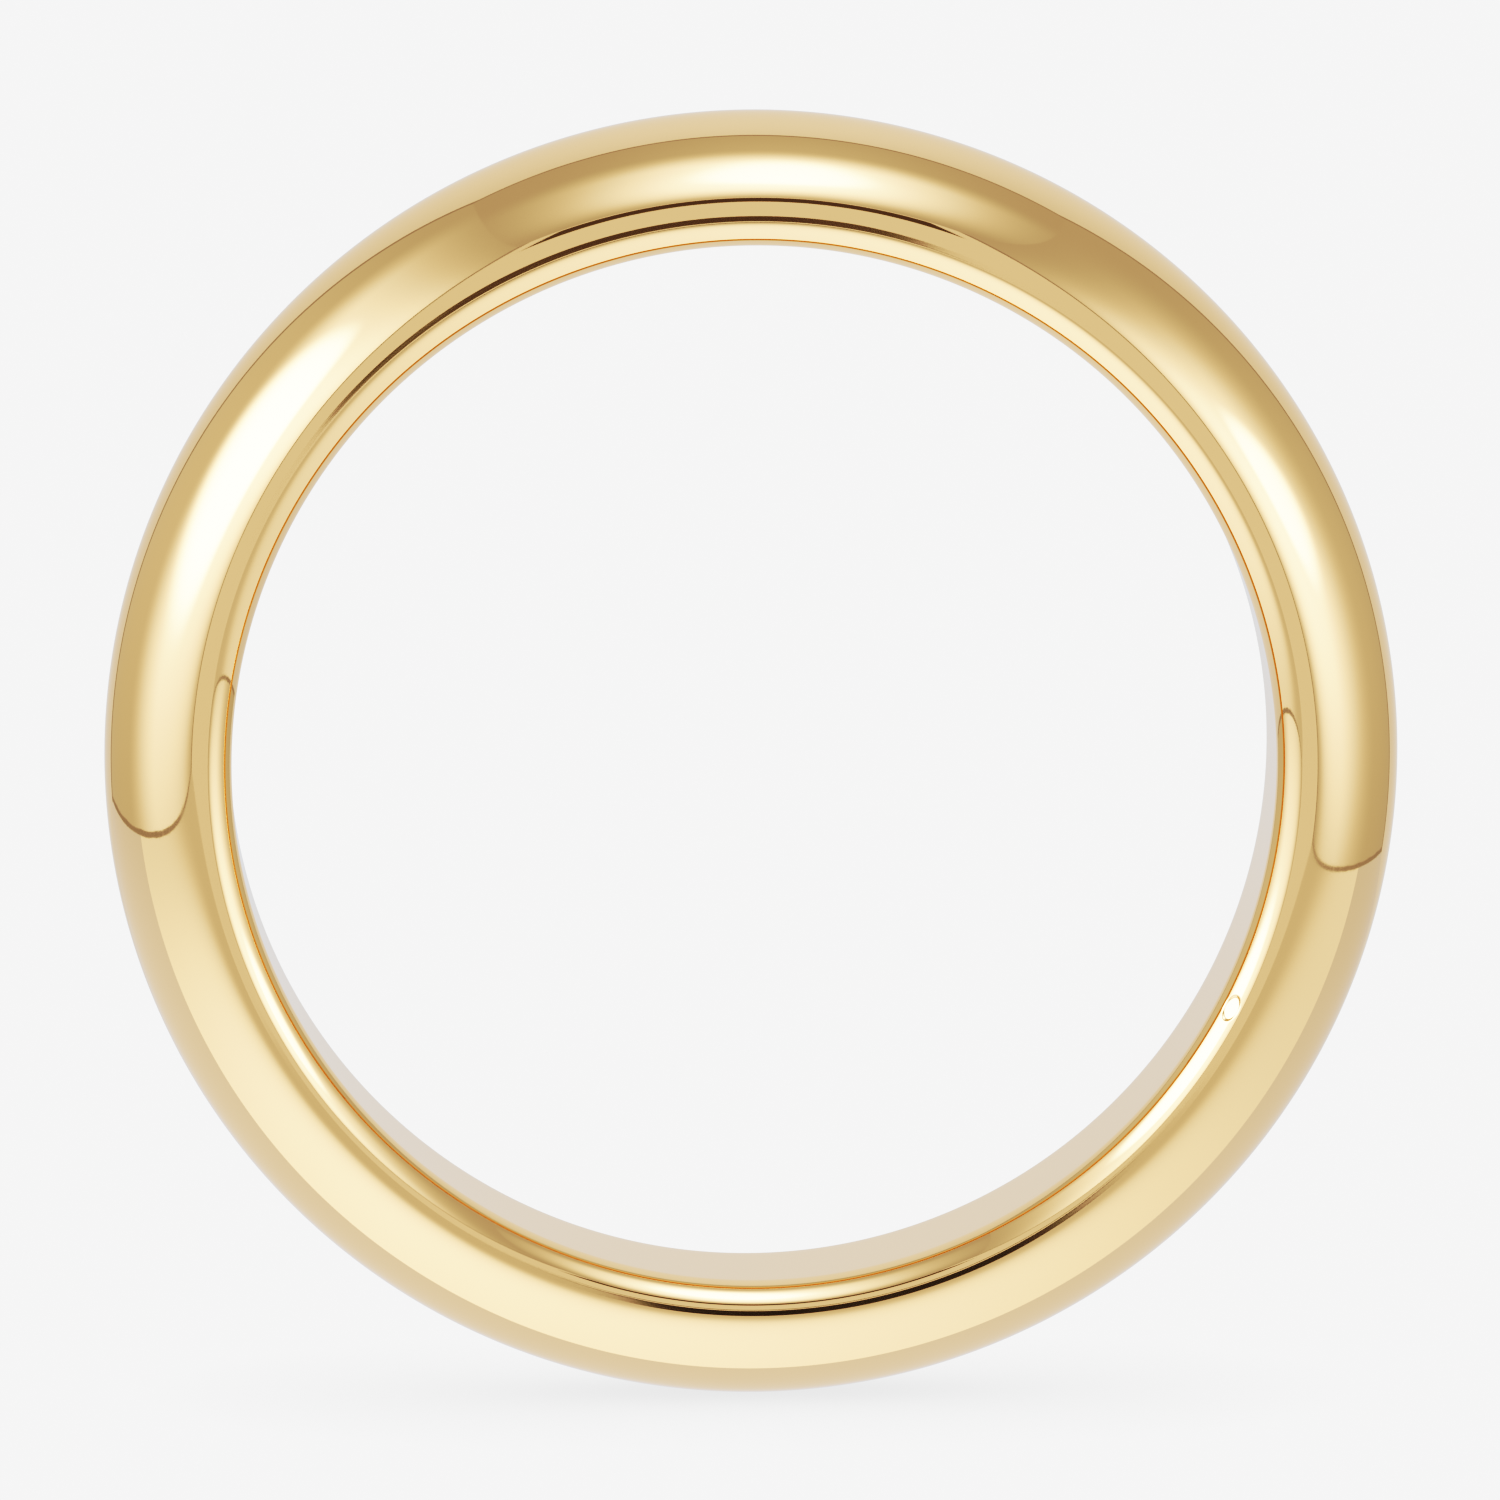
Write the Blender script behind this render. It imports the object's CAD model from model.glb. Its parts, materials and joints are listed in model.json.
"""A plain 18 ct gold wedding band, standing on its rim on a pale floor.

A white light tent, seen only in the metal, stands round it. Sizes are in metres, and the origin
is the middle of the band: X to the right, Y away from the camera, Z up.
"""
import json
from math import cos, exp, hypot, pi, radians, sin

import bmesh
import bpy
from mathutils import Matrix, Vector


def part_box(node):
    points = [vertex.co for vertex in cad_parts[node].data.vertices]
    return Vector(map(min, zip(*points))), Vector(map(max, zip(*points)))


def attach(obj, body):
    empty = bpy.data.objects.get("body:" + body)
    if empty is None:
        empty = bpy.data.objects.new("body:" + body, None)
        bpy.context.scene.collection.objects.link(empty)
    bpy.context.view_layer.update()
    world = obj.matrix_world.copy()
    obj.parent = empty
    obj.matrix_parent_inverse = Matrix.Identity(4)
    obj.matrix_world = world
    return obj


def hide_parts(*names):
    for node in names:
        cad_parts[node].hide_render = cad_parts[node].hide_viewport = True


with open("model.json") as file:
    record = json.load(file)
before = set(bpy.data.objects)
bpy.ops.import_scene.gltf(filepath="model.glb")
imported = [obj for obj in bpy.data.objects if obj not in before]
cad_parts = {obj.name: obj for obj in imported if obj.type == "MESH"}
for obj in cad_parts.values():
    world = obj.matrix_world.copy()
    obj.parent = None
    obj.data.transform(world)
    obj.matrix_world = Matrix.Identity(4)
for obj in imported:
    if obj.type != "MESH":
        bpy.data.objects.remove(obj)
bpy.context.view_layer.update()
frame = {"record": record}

MM = 0.001  # sizes named in millimetres are turned to metres with this


# ---------------------------------------------------------------- sizes, from the frame

low, high = (Vector(corner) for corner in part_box("band"))
bore = next(m for m in frame["record"]["mounts"] if m["name"] == "finger_bore")

BORE_RADIUS = bore["dims"]["r_mm"] * MM
OUTER_RADIUS = (high.x - low.x) / 2
HALF_WIDTH = (high.y - low.y) / 2
ROUND_START = bore["dims"]["length_mm"] * MM / 2  # where the bore's straight wall ends
INNER_ROUND = HALF_WIDTH - ROUND_START
SIDE_LAND = 0.10 * MM  # flat ring between the rounding and the dome
LAND_OUTER = BORE_RADIUS + INNER_ROUND + SIDE_LAND
DOME_RISE = OUTER_RADIUS - LAND_OUTER

# Blank oval punch on the front inner rounding
PUNCH_LENGTH = 0.45 * MM
PUNCH_WIDTH = 0.25 * MM
PUNCH_DEPTH = 0.03 * MM
PUNCH_CLOCK = radians(117.3)  # clockwise from the top, seen from the front
PUNCH_LEAN = radians(30)  # from the front face towards the bore


# ---------------------------------------------------------------- small helpers

def add(tree, kind, links=None, **settings):
    """Add one node. links maps an input to a value or to the output that feeds it."""
    node = tree.nodes.new(kind)
    for name, value in settings.items():
        setattr(node, name, value)
    for key, value in (links or {}).items():
        if isinstance(value, bpy.types.NodeSocket):
            tree.links.new(value, node.inputs[key])
        else:
            node.inputs[key].default_value = value
    return node


def linear(code):
    """The linear colour of an sRGB hex code."""
    parts = [int(code[i:i + 2], 16) / 255 for i in (1, 3, 5)]
    return [c / 12.92 if c <= 0.04045 else ((c + 0.055) / 1.055) ** 2.4 for c in parts] + [1.0]


def new_material(name):
    """An empty node material and its output node."""
    material = bpy.data.materials.new(name)
    material.use_nodes = True
    tree = material.node_tree
    tree.nodes.clear()
    return material, tree, add(tree, "ShaderNodeOutputMaterial")


# ---------------------------------------------------------------- polished 18 ct yellow gold

POLISH_PITCH = 0.12 * MM  # spacing of the buffing lines that run round the band
POLISH_DEPTH = 0.00006 * MM
POLISH_DRIFT = 0.02  # how much a buffing line changes round the band, as a share of how it does across
HAZE_SIZE = 2.5 * MM  # of the cloudy patches that a hand-held buff leaves
CLEAREST, HAZIEST = 0.020, 0.036  # roughness in and out of those patches
HAIRLINE_PITCH = 0.35 * MM  # hairline marks from wear; real ones are finer and drawn coarser to show
HAIRLINE_WIDTH, HAIRLINE_ROUGHNESS = 0.02, 0.01  # width as a share of the pitch, and what each adds
GOLD, PALER_GOLD = "#FCD6A5", "#FAD4A2"
EDGE_TINT = "#FFFBF4"  # gold stays warm even where it is seen edge on


def polished_gold():
    """18 ct yellow gold, machined, then buffed on a felt wheel: a clear warm mirror.

    The buff leaves a barely seen lay of lines round the band and a slight haze, which soften
    the edges of what the metal reflects.
    """
    material, tree, out = new_material("polished_18ct_yellow_gold")
    place = add(tree, "ShaderNodeTexCoord").outputs["Object"]
    split = add(tree, "ShaderNodeSeparateXYZ", {0: place})
    flat = add(tree, "ShaderNodeCombineXYZ", {"X": split.outputs["X"], "Z": split.outputs["Z"]})
    radius = add(tree, "ShaderNodeVectorMath", {0: flat.outputs[0]}, operation="LENGTH")
    # the lay follows the section, so it varies with radius and width and hardly at all round the band
    lay = add(tree, "ShaderNodeCombineXYZ", {"X": radius.outputs["Value"], "Y": split.outputs["Y"]})
    drift = add(tree, "ShaderNodeVectorMath", {0: flat.outputs[0], "Scale": POLISH_DRIFT},
                operation="SCALE")
    lay = add(tree, "ShaderNodeVectorMath", {0: lay.outputs[0], 1: drift.outputs[0]}, operation="ADD")
    lines = add(tree, "ShaderNodeTexNoise", {"Vector": lay.outputs[0], "Scale": 1 / POLISH_PITCH,
                                             "Detail": 3.0, "Roughness": 0.6})
    haze = add(tree, "ShaderNodeTexNoise", {"Vector": place, "Scale": 1 / HAZE_SIZE, "Detail": 2.0})
    marks = add(tree, "ShaderNodeTexVoronoi", {"Vector": lay.outputs[0], "Scale": 1 / HAIRLINE_PITCH},
                feature="DISTANCE_TO_EDGE")
    mark = add(tree, "ShaderNodeMapRange", {"Value": marks.outputs["Distance"], "From Min": 0.0,
                                            "From Max": HAIRLINE_WIDTH, "To Min": 1.0, "To Max": 0.0})
    rough = add(tree, "ShaderNodeMapRange", {"Value": haze.outputs["Fac"], "From Min": 0.3,
                                             "From Max": 0.7, "To Min": CLEAREST, "To Max": HAZIEST})
    rough = add(tree, "ShaderNodeMath", {0: mark.outputs[0], 1: HAIRLINE_ROUGHNESS, 2: rough.outputs[0]},
                operation="MULTIPLY_ADD")
    tint = add(tree, "ShaderNodeMix", {"Factor": haze.outputs["Fac"], "A": linear(GOLD),
                                       "B": linear(PALER_GOLD)}, data_type="RGBA")
    bump = add(tree, "ShaderNodeBump", {"Strength": 1.0, "Distance": POLISH_DEPTH,
                                        "Height": lines.outputs["Fac"]})
    shader = add(tree, "ShaderNodeBsdfPrincipled", {
        "Base Color": tint.outputs["Result"], "Metallic": 1.0, "Specular Tint": linear(EDGE_TINT),
        "Roughness": rough.outputs[0], "Normal": bump.outputs[0]})
    tree.links.new(shader.outputs[0], out.inputs["Surface"])
    return material


# ---------------------------------------------------------------- the band

AROUND = 600  # steps round the finger
CROWDING = 0.85  # how far those steps are drawn towards the punch, where the shape is finest
DOME_STEPS, LAND_STEPS, BORE_STEPS = 72, 6, 10
FRONT_ROUND_STEPS, BACK_ROUND_STEPS = 40, 14


def sweep_tree():
    """Geometry nodes that draw the band's section and turn it round the finger."""
    tree = bpy.data.node_groups.new("swept_band", "GeometryNodeTree")
    face = tree.interface
    for name in ("bore radius", "dome rise", "half width", "inner rounding", "side land", "punch angle"):
        face.new_socket(name, in_out="INPUT", socket_type="NodeSocketFloat")
    face.new_socket("steps around", in_out="INPUT", socket_type="NodeSocketInt")
    face.new_socket("finish", in_out="INPUT", socket_type="NodeSocketMaterial")
    face.new_socket("band", in_out="OUTPUT", socket_type="NodeSocketGeometry")
    sizes = add(tree, "NodeGroupInput").outputs

    def maths(operation, a, b):
        return add(tree, "ShaderNodeMath", {0: a, 1: b}, operation=operation).outputs[0]

    def point(x, y):
        return add(tree, "ShaderNodeCombineXYZ", {"X": x, "Y": y}).outputs[0]

    def line(start, end, steps):
        drawn = add(tree, "GeometryNodeCurvePrimitiveLine", {"Start": start, "End": end})
        return add(tree, "GeometryNodeResampleCurve", {"Curve": drawn.outputs[0], "Count": steps + 1})

    def arc(centre, scale, start, sweep, steps):
        drawn = add(tree, "GeometryNodeCurveArc", {
            "Radius": 1.0, "Start Angle": start, "Sweep Angle": sweep, "Resolution": steps + 1})
        return add(tree, "GeometryNodeTransform", {
            "Geometry": drawn.outputs[0], "Translation": centre, "Scale": scale})

    # in the section, X is the distance out from the bore's wall and Y runs along the finger
    rounding, back = sizes["inner rounding"], sizes["half width"]
    front = maths("MULTIPLY", back, -1.0)
    land_outer = maths("ADD", rounding, sizes["side land"])
    back_start = maths("SUBTRACT", back, rounding)
    front_start = maths("MULTIPLY", back_start, -1.0)
    dome_scale = add(tree, "ShaderNodeCombineXYZ", {"X": sizes["dome rise"], "Y": back, "Z": 1.0})
    round_scale = add(tree, "ShaderNodeCombineXYZ", {"X": rounding, "Y": rounding, "Z": 1.0})
    pieces = (
        arc(point(land_outer, 0.0), dome_scale.outputs[0], -pi / 2, pi, DOME_STEPS),
        line(point(land_outer, back), point(rounding, back), LAND_STEPS),
        arc(point(rounding, back_start), round_scale.outputs[0], pi / 2, pi / 2, BACK_ROUND_STEPS),
        line(point(0.0, back_start), point(0.0, front_start), BORE_STEPS),
        arc(point(rounding, front_start), round_scale.outputs[0], pi, pi / 2, FRONT_ROUND_STEPS),
        line(point(rounding, front), point(land_outer, front), LAND_STEPS),
    )
    section = add(tree, "GeometryNodeJoinGeometry")
    for piece in pieces:
        tree.links.new(piece.outputs[0], section.inputs[0])

    # a circle round the finger, its points drawn closer together near the punch
    circle = add(tree, "GeometryNodeCurvePrimitiveCircle", {
        "Resolution": sizes["steps around"], "Radius": sizes["bore radius"]})
    turn = maths("MULTIPLY", add(tree, "GeometryNodeSplineParameter").outputs["Factor"], 2 * pi)
    from_punch = maths("SUBTRACT", turn, sizes["punch angle"])
    shift = maths("MULTIPLY", maths("SINE", from_punch, 0.0), -CROWDING)
    spot = add(tree, "GeometryNodeInputPosition").outputs[0]
    moved = add(tree, "ShaderNodeVectorRotate", {"Vector": spot, "Angle": shift}, rotation_type="Z_AXIS")
    path = add(tree, "GeometryNodeSetPosition", {
        "Geometry": circle.outputs[0], "Position": moved.outputs[0]})

    swept = add(tree, "GeometryNodeCurveToMesh", {
        "Curve": path.outputs[0], "Profile Curve": section.outputs[0]})
    stood = add(tree, "GeometryNodeTransform", {
        "Geometry": swept.outputs[0], "Rotation": (pi / 2, 0.0, 0.0)})
    closed = add(tree, "GeometryNodeMergeByDistance", {
        "Geometry": stood.outputs[0], "Distance": 0.001 * MM})
    smooth = add(tree, "GeometryNodeSetShadeSmooth", {"Geometry": closed.outputs[0]})
    real = add(tree, "GeometryNodeRealizeInstances", {"Geometry": smooth.outputs[0]})
    finished = add(tree, "GeometryNodeSetMaterial", {
        "Geometry": real.outputs[0], "Material": sizes["finish"]})
    add(tree, "NodeGroupOutput", {"band": finished.outputs[0]})
    return tree


def press_punch(mesh):
    """Push the blank oval into the front rounding, flat at the bottom."""
    outward = Vector((sin(PUNCH_CLOCK), 0, cos(PUNCH_CLOCK)))
    along = Vector((cos(PUNCH_CLOCK), 0, -sin(PUNCH_CLOCK)))
    face = Vector((0, -cos(PUNCH_LEAN), 0)) - outward * sin(PUNCH_LEAN)
    across = face.cross(along)
    centre = outward * (BORE_RADIUS + INNER_ROUND) + Vector((0, -ROUND_START, 0)) + face * INNER_ROUND
    floor_edge, rim = 0.86, 1.08  # shares of the oval where its sloped wall starts and ends
    for vertex in mesh.vertices:
        offset = vertex.co - centre
        height = offset.dot(face)
        spread = hypot(offset.dot(along) / (PUNCH_LENGTH / 2), offset.dot(across) / (PUNCH_WIDTH / 2))
        if abs(height) > INNER_ROUND / 2 or spread > rim:
            continue
        part = min(1.0, (rim - spread) / (rim - floor_edge))
        part = part * part * (3 - 2 * part)
        vertex.co += face * (-PUNCH_DEPTH - height) * part


def make_band(finish):
    """The swept band as a plain closed mesh with its normals outward."""
    tree = sweep_tree()
    holder = bpy.data.objects.new("band_sweep", bpy.data.meshes.new("band_sweep"))
    bpy.context.collection.objects.link(holder)
    sweep = holder.modifiers.new("sweep", "NODES")
    sweep.node_group = tree
    values = {
        "bore radius": BORE_RADIUS, "dome rise": DOME_RISE, "half width": HALF_WIDTH,
        "inner rounding": INNER_ROUND, "side land": SIDE_LAND, "punch angle": pi / 2 - PUNCH_CLOCK,
        "steps around": AROUND, "finish": finish}
    for socket in tree.interface.items_tree:
        if socket.in_out == "INPUT":
            sweep[socket.identifier] = values[socket.name]
    ready = holder.evaluated_get(bpy.context.evaluated_depsgraph_get())
    mesh = bpy.data.meshes.new_from_object(ready)
    bpy.data.objects.remove(holder)

    press_punch(mesh)
    solid = bmesh.new()
    solid.from_mesh(mesh)
    if solid.calc_volume(signed=True) < 0:
        bmesh.ops.reverse_faces(solid, faces=solid.faces)
    solid.to_mesh(mesh)
    solid.free()

    band = bpy.data.objects.new("gold_band", mesh)
    bpy.context.collection.objects.link(band)
    return band


gold = polished_gold()
band = make_band(gold)
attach(band, "root")
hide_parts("band")


# ---------------------------------------------------------------- light tent

# A white cloth tent round the band. Its walls glow, and a lamp behind each of three of them
# makes a bright patch with a wide soft halo. In metres, from the middle of the band.
LEFT, RIGHT, TOP, FRONT = -0.38, 0.51, 0.71, -2.1
BACK_FOOT, BACK_LEAN = 0.43, -0.29  # the backdrop's place at band height, and how it leans
CREST, CREST_HEIGHT = 0.10, -0.123  # where along Y the floor cloth is highest, and that height
FLOOR_ROLL = -0.073  # its slope along X
FLOOR_FALL, FLOOR_BEND = 0.125, 0.50  # its slope along Y far from the crest, and how long the bend is
REACH, TENT_END, WALL_HEAD, WALL_FOOT = 1.2, 0.7, 1.4, -0.8  # the cloths run past each other to here


def tent_floor(x, y):
    """Height of the tent's floor, which bends over its crest and falls away on both sides."""
    fall = FLOOR_FALL * (hypot(y - CREST, FLOOR_BEND) - FLOOR_BEND)
    return CREST_HEIGHT + FLOOR_ROLL * x - fall


def back_at(z):
    """How far back the leaning backdrop is at a height."""
    return BACK_FOOT + BACK_LEAN * z


def glow(name, base, lamps=(), colour="#FFFFFF"):
    """Lit cloth: a steady glow, plus each lamp's patch.

    A lamp is (centre, sizes, strength, hardness, fall). Hardness 1 fades like a soft halo, and
    more gives a flatter middle and a quicker edge. A strength below zero is a shaded place. fall
    is None, or (where along Y it starts, where it ends, what is left) for the edge of the lamp's
    cone.
    """
    material, tree, out = new_material(name)
    place = add(tree, "ShaderNodeTexCoord").outputs["Object"]
    total = base
    for centre, sizes, strength, hardness, fall in lamps:
        near = add(tree, "ShaderNodeMapping", {"Vector": place, "Location": centre, "Scale": sizes},
                   vector_type="TEXTURE")
        away = add(tree, "ShaderNodeVectorMath", {0: near.outputs[0], 1: near.outputs[0]},
                   operation="DOT_PRODUCT")
        steep = add(tree, "ShaderNodeMath", {0: away.outputs["Value"], 1: hardness}, operation="POWER")
        power = add(tree, "ShaderNodeMath", {0: exp(-1), 1: steep.outputs[0]}, operation="POWER")
        patch = add(tree, "ShaderNodeMath", {0: power.outputs[0], 1: strength}, operation="MULTIPLY")
        if fall:
            start, end, left = fall
            y = add(tree, "ShaderNodeSeparateXYZ", {0: place}).outputs["Y"]
            cone = add(tree, "ShaderNodeMapRange", {"Value": y, "From Min": start, "From Max": end,
                                                    "To Min": 1.0, "To Max": left},
                       interpolation_type="SMOOTHSTEP")
            patch = add(tree, "ShaderNodeMath", {0: patch.outputs[0], 1: cone.outputs[0]},
                        operation="MULTIPLY")
        total = add(tree, "ShaderNodeMath", {0: patch.outputs[0], 1: total}, operation="ADD").outputs[0]
    light = add(tree, "ShaderNodeEmission", {"Color": linear(colour), "Strength": total})
    tree.links.new(light.outputs[0], out.inputs["Surface"])
    return material


def sheet_of(name, rows, material):
    """A staged sheet that lights and is reflected, and that the camera looks through.

    rows are pairs of points, from the sheet's one end to the other.
    """
    mesh = bpy.data.meshes.new(name)
    faces = [(i, i + 1, i + 3, i + 2) for i in range(0, 2 * len(rows) - 2, 2)]
    mesh.from_pydata([Vector(point) for row in rows for point in row], [], faces)
    mesh.materials.append(material)
    sheet = bpy.data.objects.new(name, mesh)
    bpy.context.collection.objects.link(sheet)
    sheet.visible_camera = False
    return sheet


def steps_between(start, end, count=16):
    """Evenly spaced places from start to end, both included."""
    return [start + (end - start) * i / count for i in range(count + 1)]


def side_wall(name, x, material):
    """An upright cloth along the tent's side."""
    sheet_of(name, [((x, y, WALL_FOOT), (x, y, WALL_HEAD)) for y in (FRONT, TENT_END)], material)


def floor_between(name, start, end, material):
    """The tent's floor from one place along Y to another."""
    sheet_of(name, [((-REACH, y, tent_floor(-REACH, y)), (REACH, y, tent_floor(REACH, y)))
                    for y in steps_between(start, end)], material)


side_wall("left_wall", LEFT, glow("left_cloth", 0.285, [
    ((LEFT, -0.60, 0.16), (1.0, 2.20, 0.28), 0.95, 1.0, (-0.22, 0.09, 0.12)),
    ((LEFT, -0.36, 0.190), (1.0, 0.34, 0.155), 1.3, 4.0, None)]))
side_wall("right_wall", RIGHT, glow("right_cloth", 0.275, [
    ((RIGHT, -0.90, 0.08), (1.0, 1.10, 0.27), 0.95, 1.0, (-0.50, 0.09, 0.16)),
    ((RIGHT, -0.52, 0.150), (1.0, 0.27, 0.09), 0.9, 3.0, None)]))
sheet_of("top_wall", [((LEFT, y, TOP), (RIGHT, y, TOP)) for y in (FRONT, TENT_END)],
         glow("top_cloth", 0.27, [
             ((0.077, -0.75, TOP), (0.23, 0.80, 1.0), 1.2, 1.0, (-0.36, -0.06, 0.12)),
             ((0.077, -0.62, TOP), (0.125, 0.33, 1.0), 0.7, 3.0, None)]))
sheet_of("front_wall", [((-REACH, FRONT, z), (REACH, FRONT, z)) for z in (WALL_FOOT, TOP)],
         glow("front_cloth", 0.45))
sheet_of("back_paper", [((-REACH, back_at(z), z), (REACH, back_at(z), z))
                        for z in (WALL_FOOT, WALL_HEAD)],
         glow("backdrop_paper", 0.46, [((0.03, 0.35, 0.35), (0.32, 1.0, 0.45), 0.09, 1.0, None)],
              "#F4F8FF"))
floor_between("floor_cloth", FRONT, 0.0, glow("floor_paper", 0.56, [
    ((-0.065, -0.15, -0.13), (0.155, 0.42, 1.0), 0.41, 1.0, None),
    ((0.0, -1.50, -0.25), (1.5, 1.10, 1.0), -0.20, 3.0, None)]))
floor_between("back_floor", 0.0, TENT_END, glow("back_floor_paper", 0.46, [
    ((-0.06, 0.25, -0.13), (0.26, 0.50, 1.0), 0.13, 1.0, None)], "#EAF1FF"))

# the gaps between the cloths, dark from outside the tent, and the seams, which are only shaded
dark_gap = glow("dark_gap", 0.10, colour="#E8D8C8")
deep_gap = glow("deep_gap", 0.045, colour="#E8D8C8")
seam_shade = glow("seam_shade", 0.20)
GAP_IN = 0.01  # the strips stand this far inside the cloths
FLOOR_SEAM, BACK_SEAM, FRONT_SEAM = 0.009, 0.020, 0.040  # how wide each seam is
FRONT_SEAM_FOOT, BACK_SEAM_FOOT = -0.4, -0.2  # the upright seams start here, under the floor
FLOOR_SEAM_END = back_at(-0.15)  # where the floor meets the backdrop


def strip(name, points, width, material):
    """A thin strip along the points, turned to face the band."""
    points = [Vector(p) for p in points]
    side = (points[-1] - points[0]).cross(points[0] + points[-1]).normalized() * width / 2
    return sheet_of(name, [(p - side, p + side) for p in points], material)


near_front = FRONT + GAP_IN
strip("gap_over_front", [(-0.27, near_front, 0.515), (0.40, near_front, 0.515)], 0.31, dark_gap)
strip("gap_below_lens", [(0.030, near_front, -0.242), (0.103, near_front, -0.242)], 0.053, dark_gap)
strip("gap_at_foot", [(0.047, -1.45, -0.2545), (0.086, -1.45, -0.2545)], 0.029, deep_gap)
for side, x in (("left", LEFT + GAP_IN), ("right", RIGHT - GAP_IN)):
    strip(f"{side}_floor_seam", [(x, y, tent_floor(x, y)) for y in steps_between(FRONT, FLOOR_SEAM_END)],
          FLOOR_SEAM, seam_shade)
    strip(f"{side}_back_seam", [(x, back_at(z) - GAP_IN, z) for z in (BACK_SEAM_FOOT, TOP)],
          BACK_SEAM, seam_shade)
    strip(f"{side}_front_seam", [(x, near_front, z) for z in (FRONT_SEAM_FOOT, TOP)],
          FRONT_SEAM, seam_shade)
strip("top_back_seam", [(x, back_at(TOP) - GAP_IN, TOP - GAP_IN) for x in (LEFT, RIGHT)],
      BACK_SEAM, seam_shade)


# ---------------------------------------------------------------- floor, background and camera

PALE = 0.765  # brightness of the floor and of what lies beyond it
SHADE_REACH = 4 * MM  # how far the band shades the floor, and how bright it stays right under it
DARKEST_SHADE = 0.72 * PALE
SHADE_END = 0.1  # no shade beyond here, where the tent's sheets come down through the floor


def pale_floor():
    """Matt white paper, evenly lit, a little darker only where the band shades it."""
    material, tree, out = new_material("pale_matt_paper")
    near = add(tree, "ShaderNodeAmbientOcclusion", {"Distance": SHADE_REACH}, samples=16)
    place = add(tree, "ShaderNodeTexCoord").outputs["Object"]
    away = add(tree, "ShaderNodeVectorMath", {0: place}, operation="LENGTH")
    far = add(tree, "ShaderNodeMath", {0: away.outputs["Value"], 1: SHADE_END}, operation="GREATER_THAN")
    unshaded = add(tree, "ShaderNodeMath", {0: near.outputs["AO"], 1: far.outputs[0]},
                   operation="MAXIMUM")
    shade = add(tree, "ShaderNodeMapRange", {"Value": unshaded.outputs[0], "From Min": 0.0,
                                             "From Max": 1.0, "To Min": DARKEST_SHADE, "To Max": PALE})
    light = add(tree, "ShaderNodeEmission", {"Strength": shade.outputs[0]})
    tree.links.new(light.outputs[0], out.inputs["Surface"])
    return material


FLOOR_REACH = 5.0
ground = low.z
mesh = bpy.data.meshes.new("floor")
mesh.from_pydata([(-FLOOR_REACH, -FLOOR_REACH, ground), (FLOOR_REACH, -FLOOR_REACH, ground),
                  (FLOOR_REACH, FLOOR_REACH, ground), (-FLOOR_REACH, FLOOR_REACH, ground)],
                 [], [[0, 1, 2, 3]])
mesh.materials.append(pale_floor())
floor = bpy.data.objects.new("floor", mesh)
bpy.context.collection.objects.link(floor)
floor.visible_glossy = False  # the band reflects the tent's own floor, set lower
floor.visible_shadow = False

world = bpy.data.worlds.new("pale_room")
world.use_nodes = True
world.node_tree.nodes["Background"].inputs["Color"].default_value = (PALE, PALE, PALE, 1.0)
bpy.context.scene.world = world

CAMERA_DISTANCE = 0.350
CAMERA_LIFT = radians(8.7)  # between the line of sight and the band's axis
CAMERA_CLOCK = radians(-15)  # which way that lift leans, clockwise from straight up
VIEW_WIDTH = 24.98 * MM  # how much of the band's plane fills the frame

sight = Vector((sin(CAMERA_LIFT) * sin(CAMERA_CLOCK), -cos(CAMERA_LIFT),
                sin(CAMERA_LIFT) * cos(CAMERA_CLOCK)))
aim = Vector((-0.025 * MM, 0.0, 0.050 * MM))
lens = bpy.data.cameras.new("camera")
lens.sensor_width = 36.0
lens.lens = lens.sensor_width * CAMERA_DISTANCE / VIEW_WIDTH
lens.clip_start, lens.clip_end = 0.01, 20.0
camera = bpy.data.objects.new("camera", lens)
bpy.context.collection.objects.link(camera)
camera.location = aim + sight * CAMERA_DISTANCE
camera.rotation_euler = (-sight).to_track_quat("-Z", "Y").to_euler()
bpy.context.scene.camera = camera


def film_response():
    """A film-like response: steep in the darks, with a long shoulder that pales the brightest gold."""
    view = bpy.context.scene.view_settings
    view.view_transform = "Standard"
    view.use_curve_mapping = True
    mapping = view.curve_mapping
    brightest = 2.0  # scene brightness at the right end of the curve
    mapping.white_level = [brightest] * 3
    curve = mapping.curves[3]
    stops = ((0.041, 0.019), (0.0743, 0.062), (0.136, 0.179), (0.25, 0.453), (0.46, 0.741),
             (0.58, 0.826), (0.667, 0.880), (PALE, 0.915), (0.885, 0.948), (1.0, 0.966),
             (1.15, 0.98), (1.5, 0.995))
    curve.points[0].location = (0.0, 0.0)
    curve.points[1].location = (1.0, 1.0)
    for bright, shown in stops:
        curve.points.new(bright / brightest, shown)
    mapping.update()


film_response()
